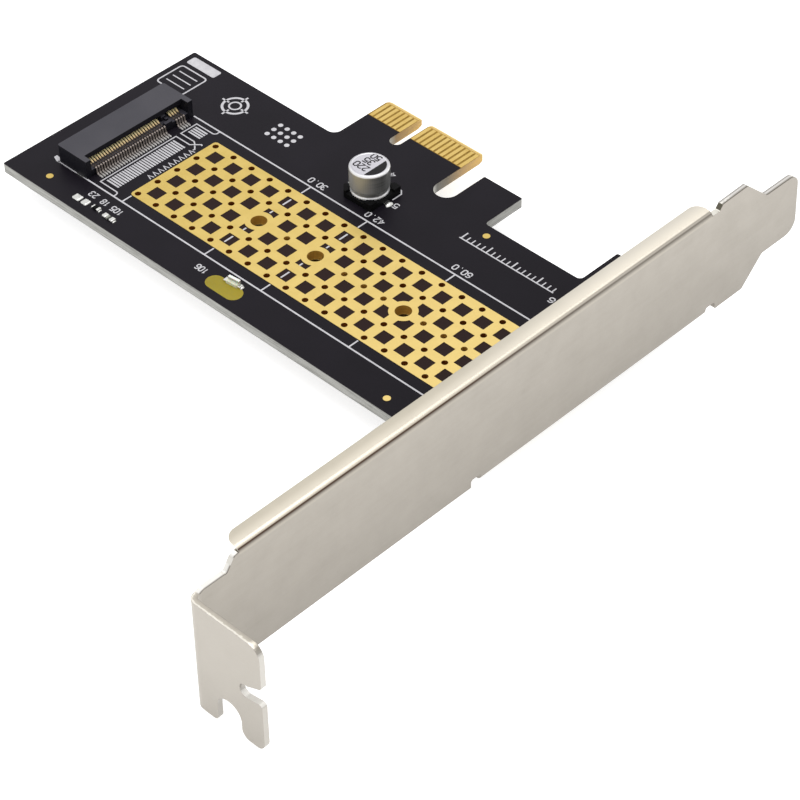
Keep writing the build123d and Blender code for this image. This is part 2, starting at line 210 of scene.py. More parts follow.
# the finger tab's flanks are browner towards the tip, with a painted highlight in near white at the roots of the tab
# and of the key notch
tab_x = m.inside(x, 0.0225, 0.0440, 0.0002)
flank = m.ramp(m.remap(y, 0.0226, 0.0352, 0.0, 1.0), (0.0, rgb(232, 231, 227)), (0.09, rgb(212, 211, 206)),
               (0.17, rgb(122, 121, 118)), (0.35, rgb(132, 122, 106)), (0.60, rgb(186, 152, 104)), (0.95, rgb(226, 184, 106)))
flank = m.mix(m.both(m.remap(x, 0.0330, 0.0328, 0.0, 1.0), m.remap(y, 0.0276, 0.0292, 0.95, 0.0)), flank, rgb(206, 205, 197))
flank = m.mix(m.remap(layers, 0.35, 0.65, 0.0, 0.25), flank, (0.30, 0.27, 0.21))
edge = m.mix(m.both(tab_x, m.remap(y, 0.0225, 0.0227, 0.0, 0.95), m.remap(nx, 0.15, 0.35, 0.0, 1.0)), edge, flank)
edge = m.mix(m.both(tab_x, m.remap(y, 0.0340, 0.0342, 0.0, 0.9), m.remap(ny, 0.5, 0.7, 0.0, 1.0)), edge, (0.62, 0.42, 0.13))
# walls of plated holes inside the heat pad, painted dark brown as painted shade inside the holes, the wide holes a
# lighter brown
plated = m.math("MULTIPLY", m.inside(x, 0.0110, 0.0850, 0.0001), m.inside(y, -0.0089, 0.0090, 0.0001))
wall = m.mix(plated, edge, (0.275, 0.085, 0.006))
wide = m.both(m.remap(m.math("ABSOLUTE", y), 0.00150, 0.00145, 0.0, 1.0), m.remap(x, 0.0270, 0.0275, 0.0, 1.0))
wall = m.mix(m.both(plated, wide), wall, (0.56, 0.340, 0.068))
# bare amber laminate beyond the mask on the finger tab
bare = m.math("MULTIPLY", m.remap(y, 0.02995, 0.03005, 0.0, 1.0), tab_x)
amber = m.mix(m.remap(m.noise(700.0, 3.0), 0.35, 0.65, 0.0, 1.0), (0.235, 0.138, 0.022), (0.315, 0.190, 0.036))
# towards the tip the bands lighten into a painted highlight along the bevelled edge
amber = m.mix(m.remap(y, 0.03390, 0.03395, 0.0, 0.95), amber, (0.36, 0.205, 0.022))
amber = m.mix(m.remap(y, 0.03422, 0.03440, 0.0, 0.95), amber, (0.60, 0.405, 0.115))
amber = m.mix(m.remap(y, 0.03470, 0.03505, 0.0, 0.9), amber, (0.84, 0.66, 0.30))
face = m.mix(bare, mask, amber)
m.set(Base_Color=m.mix(side, face, wall),
      Metallic=m.math("MULTIPLY", m.math("MULTIPLY", side, plated), 0.9),
      Roughness=m.mix(side, m.remap(fine, 0.3, 0.7, 0.34, 0.44), m.remap(layers, 0.3, 0.7, 0.75, 0.9)),
      IOR=1.5, Specular_IOR_Level=0.10)
m.bump(m.math("ADD", fine, m.math("MULTIPLY", layers, m.math("MULTIPLY", side, 4.0))), 0.000012, 0.35, 0.00006)
board_mat = m.m
wear(board_mat, "board")


def gold(name, light, deep, rough, wave=1.0, metal=1.0):
    g = Mat(name)
    n1 = g.noise(420.0, 4.0, 0.55)
    n2 = g.noise(5200.0, 2.0, 0.6)
    col = g.mix(g.remap(n1, 0.32, 0.70, 0.0, 1.0), light, deep)
    gx, gy, gz = g.xyz()
    # painted sheen: parts below y 11 mm are painted brighter gold towards the bracket end
    col = g.mix(g.both(g.remap(gy, 0.0120, 0.0110, 0.0, 1.0), g.remap(gx, 0.0150, 0.0850, 0.0, 0.62)), col, (0.985, 0.760, 0.315))
    g.set(Base_Color=col, Metallic=metal,
          Roughness=g.remap(n2, 0.3, 0.7, rough - 0.05, rough + 0.07))
    g.bump(g.math("ADD", n1, g.math("MULTIPLY", n2, 0.25)), 0.00001 * wave, 0.5, 0.00003)
    return g.m


pad_gold = gold("plated_copper", (0.78, 0.585, 0.185), (0.71, 0.520, 0.150), 0.38, 1.3)
finger_gold = gold("finger_gold", (0.83, 0.605, 0.208), (0.73, 0.505, 0.148), 0.32, 1.6)
wear(pad_gold, "thermal_pad", "rear_thermal_pad", "fiducials")
wear(finger_gold, "edge_contacts_front", "edge_contacts_rear")

# ---- spring contacts: gold where they touch the drive, tin-grey on the tails and lighter towards their ends; a painted highlight on the gold tips and painted shade where they run under the moulding's jaw
m = Mat("spring_contact")
x, y, z = m.xyz()
rear = m.remap(x, -0.0030, -0.0027, 1.0, 0.0)
grain = m.noise(3500.0, 3.0)
along = m.remap(x, 0.0005, 0.0053, 0.0, 1.0)
# first stops: painted highlight on the tips; near-black stops: painted shade under the jaw
metal = m.ramp(along, (0.05, (1.0, 0.82, 0.38)), (0.28, (1.0, 0.92, 0.54)), (0.38, (0.74, 0.55, 0.27)),
               (0.45, (0.13, 0.105, 0.090)), (0.60, (0.15, 0.120, 0.105)), (0.74, (0.30, 0.262, 0.240)),
               (0.86, (0.46, 0.440, 0.430)), (0.95, (0.62, 0.610, 0.600)))
metal = m.mix(m.remap(grain, 0.35, 0.75, 0.0, 0.25), metal, (0.10, 0.08, 0.07))
metal = m.mix(rear, metal, (0.74, 0.73, 0.71))
m.set(Base_Color=metal, Metallic=m.math("MINIMUM", m.remap(along, 0.36, 0.44, 0.15, 0.9), m.remap(along, 0.72, 0.86, 0.9, 0.3)), Roughness=m.remap(grain, 0.3, 0.7, 0.26, 0.38))
m.bump(grain, 0.000004, 0.4)
wear(m.m, "socket_lower_contacts", "socket_upper_contacts")

# ---- socket moulding
m = Mat("socket_moulding")
spark = m.noise(3300.0, 4.0, 0.7)
soft = m.noise(130.0, 2.0)
nx, ny, nz = m.xyz(m.normal())
# painted light: the tops get the moulding's colour with soft patches of painted sheen, the sides are painted near black
# as painted shade
up = m.remap(nz, 0.4, 0.9, 0.0, 1.0)
body = m.mix(m.remap(soft, 0.35, 0.65, 0.0, 1.0), (0.031, 0.030, 0.041), (0.043, 0.041, 0.053))
body = m.mix(m.remap(spark, 0.5, 0.8, 0.0, 0.5), body, (0.060, 0.057, 0.072))
m.set(Base_Color=m.mix(up, (0.0080, 0.0077, 0.0115), body), Roughness=m.remap(spark, 0.3, 0.7, 0.42, 0.55),
      Specular_IOR_Level=m.remap(up, 0.0, 1.0, 0.14, 0.42))
m.bump(spark, 0.000008, 0.5, 0.00006)
wear(m.m, "socket_housing")

# ---- bright tin: solder, terminals, chip ends
m = Mat("bright_tin")
dent = m.noise(1500.0, 3.0, 0.6)
m.set(Base_Color=m.mix(m.remap(dent, 0.35, 0.65, 0.0, 1.0), (0.86, 0.86, 0.84), (0.70, 0.70, 0.68)), Metallic=1.0,
      Roughness=m.remap(dent, 0.3, 0.7, 0.16, 0.30))
m.bump(dent, 0.00002, 0.6, 0.00004)
tin_mat = m.m
wear(tin_mat, "solder_pads", "led_terminals", "indicator_terminals", "resistor_terminals",
     "capacitor_leads", "socket_hold_downs")

# ---- solder on the socket's tails: the tin painted darker, a painted shade that damps its shine
m = Mat("shaded_tin")
dent = m.noise(1900.0, 3.0, 0.6)
m.set(Base_Color=m.mix(m.remap(dent, 0.35, 0.65, 0.0, 1.0), (0.36, 0.355, 0.35), (0.24, 0.235, 0.23)), Metallic=0.9,
      Roughness=m.remap(dent, 0.3, 0.7, 0.34, 0.46))
m.bump(dent, 0.00001, 0.5, 0.00003)
shaded_tin = m.m

# ---- capacitor: drawn can, black base
m = Mat("drawn_aluminium")
x, y, z = m.xyz()
nx, ny, nz = m.xyz(m.normal())
turned = m.noise(1.0, 2.0, 0.5, vector=m.scaled(120.0, 120.0, 5200.0))
speck = m.noise(4200.0, 3.0, 0.7)
up = m.remap(nz, 0.90, 0.99, 0.0, 1.0)
# painted shading: the can's side is painted lighter or darker by which way it faces
facing = m.math("ADD", m.math("MULTIPLY", nx, 0.70), m.math("MULTIPLY", ny, 0.72))
wall = m.ramp(m.remap(facing, -1.0, 1.0, 0.0, 1.0), (0.05, (0.54, 0.545, 0.535)), (0.30, (0.420, 0.427, 0.425)),
              (0.52, (0.262, 0.268, 0.276)), (0.80, (0.125, 0.127, 0.130)), (0.96, (0.250, 0.252, 0.254)))
wall = m.mix(m.remap(turned, 0.35, 0.65, 0.0, 0.22), wall, (0.42, 0.42, 0.41))
# painted highlight round the top rim and the bottom bead, bright on the near side and dim on the far side
toward = m.math("SUBTRACT", m.math("MULTIPLY", nx, 0.707), m.math("MULTIPLY", ny, 0.707))
shine = m.mix(m.remap(toward, -0.35, 0.25, 0.0, 1.0), (0.27, 0.265, 0.285), (0.86, 0.86, 0.88))
hoop = m.math("ADD", m.remap(z, 0.00512, 0.00527, 0.0, 1.0), m.remap(z, 0.00150, 0.00130, 0.0, 1.0), clamp=True)
wall = m.mix(hoop, wall, shine)
m.set(Base_Color=m.mix(up, wall, m.mix(m.remap(speck, 0.35, 0.65, 0.0, 1.0), (0.60, 0.59, 0.64), (0.54, 0.53, 0.58))),
      Metallic=m.remap(up, 0.0, 1.0, 0.55, 0.35),
      Roughness=m.mix(up, m.remap(turned, 0.3, 0.7, 0.30, 0.38), m.remap(speck, 0.3, 0.7, 0.42, 0.55)),
      Specular_IOR_Level=0.4)
m.bump(speck, 0.000003, 0.25)
wear(m.m, "capacitor_can")

m = Mat("black_moulding")
spark = m.noise(3600.0, 3.0, 0.7)
m.set(Base_Color=m.mix(m.remap(spark, 0.4, 0.7, 0.0, 1.0), (0.0026, 0.0026, 0.003), (0.0055, 0.0055, 0.0062)),
      Roughness=m.remap(spark, 0.3, 0.7, 0.50, 0.62), Specular_IOR_Level=0.08)
m.bump(spark, 0.000006, 0.4, 0.00006)
wear(m.m, "capacitor_base", "resistor_body")

# ---- lamps: cloudy clear resin
m = Mat("lamp_resin")
fog = m.noise(1400.0, 3.0)
x, y, z = m.xyz()
resin = m.mix(m.remap(fog, 0.35, 0.65, 0.0, 1.0), (0.80, 0.81, 0.66), (0.66, 0.67, 0.53))
# a darker band from 0.5 mm up, and the top painted near white as a painted highlight
resin = m.mix(m.remap(z, 0.00050, 0.00052, 0.0, 1.0), resin, (0.40, 0.41, 0.34))
resin = m.mix(m.remap(z, 0.00085, 0.00093, 0.0, 1.0), resin, (0.97, 0.97, 0.94))
m.set(Base_Color=resin,
      Roughness=m.remap(fog, 0.3, 0.7, 0.12, 0.22), Transmission_Weight=0.10, IOR=1.50,
      Subsurface_Weight=0.25, Subsurface_Scale=0.0006)
m.bump(fog, 0.00001, 0.4, 0.00005)
wear(m.m, "led_body")
m = Mat("indicator_resin")
x, y, z = m.xyz()
fog = m.noise(1900.0, 3.0)
m.set(Base_Color=m.mix(m.remap(m.math("ADD", x, m.math("MULTIPLY", fog, 0.0001)), 0.01325, 0.01345, 0.0, 1.0), (0.30, 0.31, 0.27), (0.02, 0.022, 0.02)),
      Roughness=m.remap(fog, 0.3, 0.7, 0.25, 0.40))
m.bump(fog, 0.00001, 0.4, 0.00004)
wear(m.m, "indicator_body")

# ---- bracket: satin nickel over steel sheet
m = Mat("satin_nickel")
x, y, z = m.xyz()
nx, ny, nz = m.xyz(m.normal())
rolled = m.noise(1.0, 4.0, 0.55, vector=m.scaled(900.0, 45.0, 1500.0))
mottle = m.noise(210.0, 4.0, 0.6)
pit = m.noise(2400.0, 3.0, 0.6)
plate = m.mix(m.remap(mottle, 0.30, 0.70, 0.0, 1.0), (0.373, 0.345, 0.305), (0.349, 0.323, 0.284))
plate = m.mix(m.remap(rolled, 0.35, 0.65, 0.0, 0.25), plate, (0.392, 0.364, 0.327))
# painted shade: the sheet grows darker towards the bottom, and on its outer face towards the tab end
plate = m.mix(m.remap(z, 0.0150, -0.0025, 0.0, 0.165), plate, (0.0, 0.0, 0.0))
plate = m.mix(m.both(m.remap(y, -0.030, -0.060, 0.0, 0.04), m.remap(x, 0.0896, 0.0900, 0.0, 1.0)), plate, (0.0, 0.0, 0.0))
# painted light: the tab is a lighter copy of the same nickel, dimming towards its bottom
blade = m.remap(y, -0.0664, -0.0672, 0.0, 1.0)
plate = m.mix(m.both(blade, m.remap(z, 0.012, -0.004, 0.86, 0.76)), plate, (0.416, 0.388, 0.346))
# sheared edges: a painted highlight in the middle and painted shade along the arrises where the sheet was rolled over,
# with painted glints towards the flange end
sheared = m.both(m.remap(nz, 0.80, 0.92, 0.0, 1.0), m.remap(y, 0.0330, 0.0333, 0.0, 1.0))
across = m.remap(x, 0.08939, 0.09025, 0.0, 1.0)
cut = m.ramp(across, (0.0, rgb(140, 136, 130)), (0.20, rgb(190, 186, 182)), (0.45, rgb(236, 234, 230)),
             (0.66, rgb(196, 192, 186)), (0.92, rgb(112, 106, 98)))
cut = m.mix(m.both(m.remap(y, 0.0362, 0.0347, 0.0, 0.85), m.inside(across, 0.30, 0.70, 0.12), m.remap(pit, 0.42, 0.52, 0.0, 1.0)),
            cut, rgb(255, 253, 246))
plate = m.mix(sheared, plate, cut)
# painted highlight at the root beyond the flange's end
root = m.both(m.inside(y, 0.0314, 0.0331, 0.00015), m.remap(z, 0.0156, 0.0157, 0.0, 1.0), m.remap(nz, 0.55, 0.80, 0.0, 1.0))
plate = m.mix(root, plate, rgb(238, 235, 226))
# painted shade on the riser beside it
riser = m.both(m.inside(y, 0.0325, 0.0337, 0.0001), m.remap(z, 0.0157, 0.0158, 0.0, 1.0), m.remap(ny, -0.45, -0.65, 0.0, 1.0))
plate = m.mix(riser, plate, rgb(104, 100, 88))
# painted highlight across the top edge at the flange's tab end, with a painted dark line at one arris
left = m.both(m.remap(y, -0.0600, -0.0601, 0.0, 1.0), m.remap(nz, 0.35, 0.60, 0.0, 1.0), m.remap(y, -0.0670, -0.0668, 0.0, 1.0))
plate = m.mix(left, plate, m.ramp(across, (0.0, rgb(252, 250, 246)), (0.66, rgb(248, 246, 241)), (0.95, rgb(118, 112, 104))))
# round the fold and along the tab's top edge: a ragged painted highlight, brightest on the outer side
over = m.both(m.remap(y, -0.0667, -0.0669, 0.0, 1.0), m.remap(nz, 0.6, 0.9, 0.0, 1.0))
dx, dy = m.math("SUBTRACT", x, 0.09089), m.math("SUBTRACT", y, -0.06685)
radius = m.math("SQRT", m.math("ADD", m.math("MULTIPLY", dx, dx), m.math("MULTIPLY", dy, dy)))
through = m.mix(m.remap(x, 0.09087, 0.09091, 0.0, 1.0), m.remap(radius, 0.00150, 0.00064, 0.0, 1.0),
                m.remap(y, -0.06835, -0.06749, 0.0, 1.0))
ragged = m.noise(1.0, 3.0, 0.6, vector=m.scaled(1100.0, 2600.0, 2600.0))
plate = m.mix(over, plate, m.ramp(m.math("ADD", through, m.math("MULTIPLY", m.math("SUBTRACT", ragged, 0.5), 0.75)),
              (0.0, rgb(214, 208, 197)), (0.12, rgb(246, 242, 233)), (0.28, rgb(240, 235, 224)),
              (0.42, rgb(200, 193, 182)), (0.90, rgb(182, 176, 165))))
# painted light on the tab's outer end and the walls of its alignment slot: the end in two lighter tones, the slot walls
# near white and almost without metal sheen, as painted highlight
blade_end = m.both(blade, m.remap(nx, 0.60, 0.80, 0.0, 1.0))
plate = m.mix(m.both(blade_end, m.remap(x, 0.0990, 0.0995, 0.0, 1.0), m.remap(z, 0.0046, 0.0052, 0.55, 1.0)), plate, rgb(190, 187, 181))
plate = m.mix(m.both(blade_end, m.remap(x, 0.0925, 0.0930, 0.0, 1.0), m.remap(x, 0.0990, 0.0985, 0.0, 1.0)), plate, rgb(164, 160, 154))
# painted shade on the tab's rounded top corner
corner = m.both(blade, m.inside(nx, 0.50, 0.86, 0.06), m.remap(nz, 0.35, 0.50, 0.0, 1.0), m.remap(z, 0.0105, 0.0110, 0.0, 0.5), m.remap(x, 0.0985, 0.0990, 0.0, 1.0))
plate = m.mix(corner, plate, rgb(140, 132, 120))
slot_wall = m.both(blade, m.inside(z, 0.0029, 0.0056, 0.0001), m.remap(m.math("ABSOLUTE", nz), 0.45, 0.65, 0.0, 1.0),
                   m.remap(x, 0.0972, 0.0976, 0.0, 1.0))
plate = m.mix(slot_wall, plate, (0.74, 0.72, 0.68))
# upper flange: painted reflection, even sky on the flat, brightest at the bend, then a painted dark band of the horizon
# half-way round it
turn = m.math("ARCTAN2", m.math("SUBTRACT", x, 0.08920), m.math("SUBTRACT", z, 0.01540))
at = m.math("ADD", m.remap(x, 0.0871, 0.0892, 0.0, 0.5), m.math("MULTIPLY", m.math("MAXIMUM", turn, 0.0), 0.5 / 1.5708))
near_end = m.ramp(at, (0.0, rgb(204, 197, 181)), (0.22, rgb(212, 204, 188)), (0.46, rgb(232, 224, 208)),
                  (0.58, rgb(223, 215, 200)), (0.68, rgb(214, 206, 191)), (0.715, rgb(200, 190, 174)), (0.745, rgb(88, 68, 57)),
                  (0.775, rgb(88, 71, 60)), (0.83, rgb(146, 139, 130)), (0.92, rgb(168, 162, 152)))
far_end = m.ramp(at, (0.0, rgb(220, 214, 202)), (0.25, rgb(234, 227, 214)), (0.48, rgb(248, 240, 225)),
                 (0.60, rgb(230, 223, 209)), (0.655, rgb(170, 163, 152)), (0.70, rgb(196, 189, 178)),
                 (0.765, rgb(132, 125, 116)), (0.82, rgb(160, 154, 145)), (0.92, rgb(172, 166, 156)))
roll = m.mix(m.remap(y, -0.020, 0.012, 0.0, 1.0), near_end, far_end)
on_roll = m.both(m.remap(z, 0.01535, 0.01545, 0.0, 1.0), m.remap(y, -0.06000, -0.05992, 0.0, 1.0), m.remap(y, 0.03145, 0.03155, 1.0, 0.0),
                 m.remap(m.math("ADD", nx, nz), 0.45, 0.75, 0.0, 1.0))
plate = m.mix(on_roll, plate, roll)
# painted highlight on the flange's end face at the tab end
ends = m.both(m.remap(z, 0.0146, 0.0148, 0.0, 1.0), m.remap(ny, -0.55, -0.75, 0.0, 1.0), m.inside(y, -0.0638, -0.0590, 0.0001))
plate = m.mix(ends, plate, rgb(226, 223, 216))
m.set(Base_Color=plate, Metallic=m.remap(slot_wall, 0.0, 1.0, 1.0, 0.1),
      Roughness=m.math("ADD", m.remap(mottle, 0.3, 0.7, 0.30, 0.36), m.remap(pit, 0.4, 0.8, 0.0, 0.05)))
m.bump(m.math("ADD", m.math("MULTIPLY", rolled, 0.6), m.math("MULTIPLY", pit, 0.3)), 0.000005, 0.30, 0.00009)
wear(m.m, "bracket")

m = Mat("screw_nickel")
pit = m.noise(2600.0, 3.0, 0.6)
m.set(Base_Color=m.mix(m.remap(pit, 0.35, 0.65, 0.0, 1.0), (0.66, 0.65, 0.64), (0.52, 0.51, 0.50)), Metallic=1.0,
      Roughness=m.remap(pit, 0.3, 0.7, 0.24, 0.36))
m.bump(pit, 0.000008, 0.4, 0.0001)
wear(m.m, "bracket_screws")

# ---- screened white ink, and black ink on the can
m = Mat("white_ink")
worn = m.noise(900.0, 4.0, 0.6)
m.set(Base_Color=m.mix(m.remap(worn, 0.35, 0.70, 0.0, 1.0), (0.58, 0.575, 0.605), (0.47, 0.465, 0.495)),
      Roughness=m.remap(worn, 0.3, 0.7, 0.50, 0.65))
m.bump(worn, 0.000006, 0.4)
ink = m.m
m = Mat("black_ink")
worn = m.noise(1800.0, 3.0, 0.6)
m.set(Base_Color=m.mix(m.remap(worn, 0.35, 0.70, 0.0, 1.0), (0.009, 0.009, 0.010), (0.016, 0.015, 0.017)),
      Roughness=m.remap(worn, 0.3, 0.7, 0.40, 0.52), Specular_IOR_Level=0.15)
m.bump(worn, 0.000004, 0.4)
black_ink = m.m

# ---- bare translucent laminate of the lamp window
m = Mat("bare_laminate")
x, y, z = m.xyz()
weave = m.noise(1.0, 2.0, 0.5, vector=m.scaled(1900.0, 1900.0, 10.0))
fade = m.noise(180.0, 2.0)
c = m.mix(m.remap(fade, 0.35, 0.65, 0.0, 1.0), (0.350, 0.252, 0.016), (0.415, 0.298, 0.022))
c = m.mix(m.remap(weave, 0.45, 0.65, 0.0, 0.22), c, (0.28, 0.26, 0.05))
m.set(Base_Color=c, Roughness=m.remap(weave, 0.3, 0.7, 0.34, 0.46), Specular_IOR_Level=0.22, Subsurface_Weight=0.2, Subsurface_Scale=0.001)
m.bump(weave, 0.000008, 0.4)
laminate = m.m


# =====================================================================
# mesh helpers, all in mm in the CAD frame
# =====================================================================
class Build:
    def __init__(self, name, material):
        self.name, self.material, self.bm = name, material, bmesh.new()

    def prism(self, pts, z0, z1):
        """Closed prism on a simple outline of (x, y) points."""
        area = sum(a[0] * b[1] - b[0] * a[1] for a, b in zip(pts, pts[1:] + pts[:1]))
        if area < 0:
            pts = pts[::-1]
        low = [self.bm.verts.new((p[0] * MM, p[1] * MM, z0 * MM)) for p in pts]
        high = [self.bm.verts.new((p[0] * MM, p[1] * MM, z1 * MM)) for p in pts]
        n = len(pts)
        self.bm.faces.new(low[::-1])
        self.bm.faces.new(high)
        for i in range(n):
            j = (i + 1) % n
            self.bm.faces.new((low[i], low[j], high[j], high[i]))

    def stroke(self, pts, width, z0, z1, closed=False):
        """Closed ribbon of ink along a line of points, mitred at its turns."""
        n = len(pts)
        left, right = [], []
        for i, p in enumerate(pts):
            dirs = []
            if i > 0 or closed:
                q = pts[i - 1]
                dirs.append((p[0] - q[0], p[1] - q[1]))
            if i < n - 1 or closed:
                q = pts[(i + 1) % n]
                dirs.append((q[0] - p[0], q[1] - p[1]))
            dirs = [(a / math.hypot(a, b), b / math.hypot(a, b)) for a, b in dirs]
            ax = -sum(d[1] for d in dirs) / len(dirs)
            ay = sum(d[0] for d in dirs) / len(dirs)
            length = max(0.55, math.hypot(ax, ay))
            k = width / 2 / length / math.hypot(ax, ay)
            left.append((p[0] + ax * k, p[1] + ay * k))
            right.append((p[0] - ax * k, p[1] - ay * k))
        rings = []
        for l, r in zip(left, right):
            rings.append([self.bm.verts.new((l[0] * MM, l[1] * MM, z0 * MM)),
                          self.bm.verts.new((r[0] * MM, r[1] * MM, z0 * MM)),
                          self.bm.verts.new((r[0] * MM, r[1] * MM, z1 * MM)),
                          self.bm.verts.new((l[0] * MM, l[1] * MM, z1 * MM))])
        for i in range(n if closed else n - 1):
            a, b = rings[i], rings[(i + 1) % n]
            for k in range(4):
                self.bm.faces.new((a[k], a[(k + 1) % 4], b[(k + 1) % 4], b[k]))
        if not closed:
            self.bm.faces.new(rings[0][::-1])
            self.bm.faces.new(rings[-1])

    def disc(self, cx, cy, r, z0, z1, n=28):
        self.prism([(cx + r * math.cos(2 * math.pi * i / n), cy + r * math.sin(2 * math.pi * i / n))
                    for i in range(n)], z0, z1)

    def ring(self, cx, cy, r, width, z0, z1, n=40):
        self.stroke([(cx + r * math.cos(2 * math.pi * i / n), cy + r * math.sin(2 * math.pi * i / n))
                     for i in range(n)], width, z0, z1, closed=True)

    def mound(self, cx, cy, lx, ly, height, z0=0.0, lean=(0.0, 0.0), n=10, power=2.6):
        """Solder mound: a smooth hump on a rounded-rectangle foot."""
        rows = 7
        prev = None
        for r in range(rows):
            t = r / (rows - 1)
            s = math.cos(t * math.pi / 2) ** 0.75
            h = height * math.sin(t * math.pi / 2) ** 1.15
            ring = []
            if r == rows - 1:
                apex = self.bm.verts.new(((cx + lean[0]) * MM, (cy + lean[1]) * MM, (z0 + height) * MM))
                for i in range(len(prev)):
                    self.bm.faces.new((prev[i], prev[(i + 1) % len(prev)], apex))
                break
            for i in range(4 * n):
                a = 2 * math.pi * i / (4 * n)
                ca, sa = math.cos(a), math.sin(a)
                k = (abs(ca) ** power + abs(sa) ** power) ** (-1 / power)
                ring.append(self.bm.verts.new(((cx + lean[0] * t + ca * k * lx / 2 * s) * MM,
                                               (cy + lean[1] * t + sa * k * ly / 2 * s) * MM,
                                               (z0 + h) * MM)))
            if prev is None:
                self.bm.faces.new(ring[::-1])
            else:
                for i in range(len(ring)):
                    j = (i + 1) % len(ring)
                    self.bm.faces.new((prev[i], prev[j], ring[j], ring[i]))
            prev = ring

    def done(self, smooth=None):
        bmesh.ops.recalc_face_normals(self.bm, faces=self.bm.faces)
        mesh = bpy.data.meshes.new(self.name)
        self.bm.to_mesh(mesh)
        self.bm.free()
        mesh.materials.append(self.material)
        if smooth is not None:
            mesh.polygons.foreach_set("use_smooth", [True] * len(mesh.polygons))
            mesh.set_sharp_from_angle(angle=math.radians(smooth))
        o = bpy.data.objects.new(self.name, mesh)
        bpy.context.scene.collection.objects.link(o)
        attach(o, "root")
        return o


def arc(cx, cy, r, a0, a1, n=8):
    return [(cx + r * math.cos(math.radians(a0 + (a1 - a0) * i / n)),
             cy + r * math.sin(math.radians(a0 + (a1 - a0) * i / n))) for i in range(n + 1)]


def rounded(x0, y0, x1, y1, r, n=6):
    return (arc(x1 - r, y0 + r, r, -90, 0, n) + arc(x1 - r, y1 - r, r, 0, 90, n)
            + arc(x0 + r, y1 - r, r, 90, 180, n) + arc(x0 + r, y0 + r, r, 180, 270, n))


# Numerals drawn with a pen, on a cell 4 wide and 6 high.
PEN = {
    "0": [[(1, 0), (0, 1), (0, 5), (1, 6), (3, 6), (4, 5), (4, 1), (3, 0), (1, 0)]],
    "1": [[(0.8, 4.8), (2.2, 6), (2.2, 0)]],
    "2": [[(0, 5), (1, 6), (3, 6), (4, 5), (4, 4), (0, 0), (4, 0)]],
    "3": [[(0, 5.2), (0.9, 6), (3, 6), (4, 5.1), (4, 4), (3.1, 3.2), (1.6, 3.2)],
          [(3.1, 3.2), (4, 2.3), (4, 0.9), (3, 0), (0.9, 0), (0, 0.8)]],
    "4": [[(3, 0), (3, 6), (0, 2), (4.2, 2)]],
    "5": [[(4, 6), (0.4, 6), (0.2, 3.4), (1.2, 3.9), (3, 3.9), (4, 2.9), (4, 1), (3, 0), (0.9, 0), (0, 0.8)]],
    "6": [[(3.8, 5.4), (2.9, 6), (1.1, 6), (0, 4.8), (0, 1), (1, 0), (3, 0), (4, 1), (4, 2.5), (3, 3.5), (1, 3.5), (0, 2.7)]],
    "7": [[(0, 6), (4, 6), (1.4, 0)]],
    ".": [[(1.6, 0), (2.4, 0)]],
    "8": [[(1, 3.2), (0, 4.1), (0, 5.1), (1, 6), (3, 6), (4, 5.1), (4, 4.1), (3, 3.2), (1, 3.2),
           (0, 2.2), (0, 0.9), (1, 0), (3, 0), (4, 0.9), (4, 2.2), (3, 3.2)]],
}


def numerals(target, text, cx, cy, height, width, pen, z0, z1, turn=0.0):
    """text centred on (cx, cy), turned by turn degrees."""
    gap = 1.55
    total = 4 * len(text) + gap * (len(text) - 1)
    sx, sy = width / total, height / 6.0
    ca, sa = math.cos(math.radians(turn)), math.sin(math.radians(turn))
    for i, ch in enumerate(text):
        for line in PEN[ch]:
            pts = []
            for a, b in line:
                u = (i * (4 + gap) + a - total / 2) * sx
                v = (b - 3) * sy
                pts.append((cx + u * ca - v * sa, cy + u * sa + v * ca))
            if line[0] == line[-1]:
                target.stroke(pts[:-1], pen, z0, z1, closed=True)
            else:
                target.stroke(pts, pen, z0, z1)


# =====================================================================
# screened print on the component face
# =====================================================================
Z0, Z1 = TOP + 0.002, TOP + 0.022
LINE = 0.27
p = Build("screened_print", ink)
# keep-out lines beside the drive, and the corner mark at the socket
p.stroke([(3.8, 11.05), (88.2, 11.05)], LINE, Z0, Z1)
p.stroke([(-2.9, -10.95), (88.2, -10.95)], LINE, Z0, Z1)
p.prism([(-4.15, -10.15), (-3.35, -10.20), (-2.60, -10.80), (-2.60, -11.15), (-3.10, -11.15), (-4.15, -10.75)], Z0, Z1)
# ticks at each drive length
for tx in (11.65, 29.8, 41.8, 59.8, 79.8):
    for s in (-1, 1):
        if tx == 11.65 and s == 1:
            continue
        edge_y = 10.95 if s < 0 else 11.05
        p.stroke([(tx, s * 9.0), (tx, s * (edge_y - 0.14))], 0.25, Z0, Z1)
for tx in (29.8, 41.8):
    for s in (-1, 1):
        p.stroke([(tx, s * 5.12), (tx, s * 6.88)], 0.28, Z0, Z1)
        p.stroke([(tx, s * 2.42), (tx, s * 3.08)], 0.26, Z0, Z1)
# drive lengths, read from the +Y side
for text, tx in (("30.0", 30.0), ("42.0", 42.1), ("60.0", 60.0), ("80.0", 80.0)):
    numerals(p, text, tx, 12.30, 1.08, 3.40, 0.20, Z0, Z1, turn=180.0)
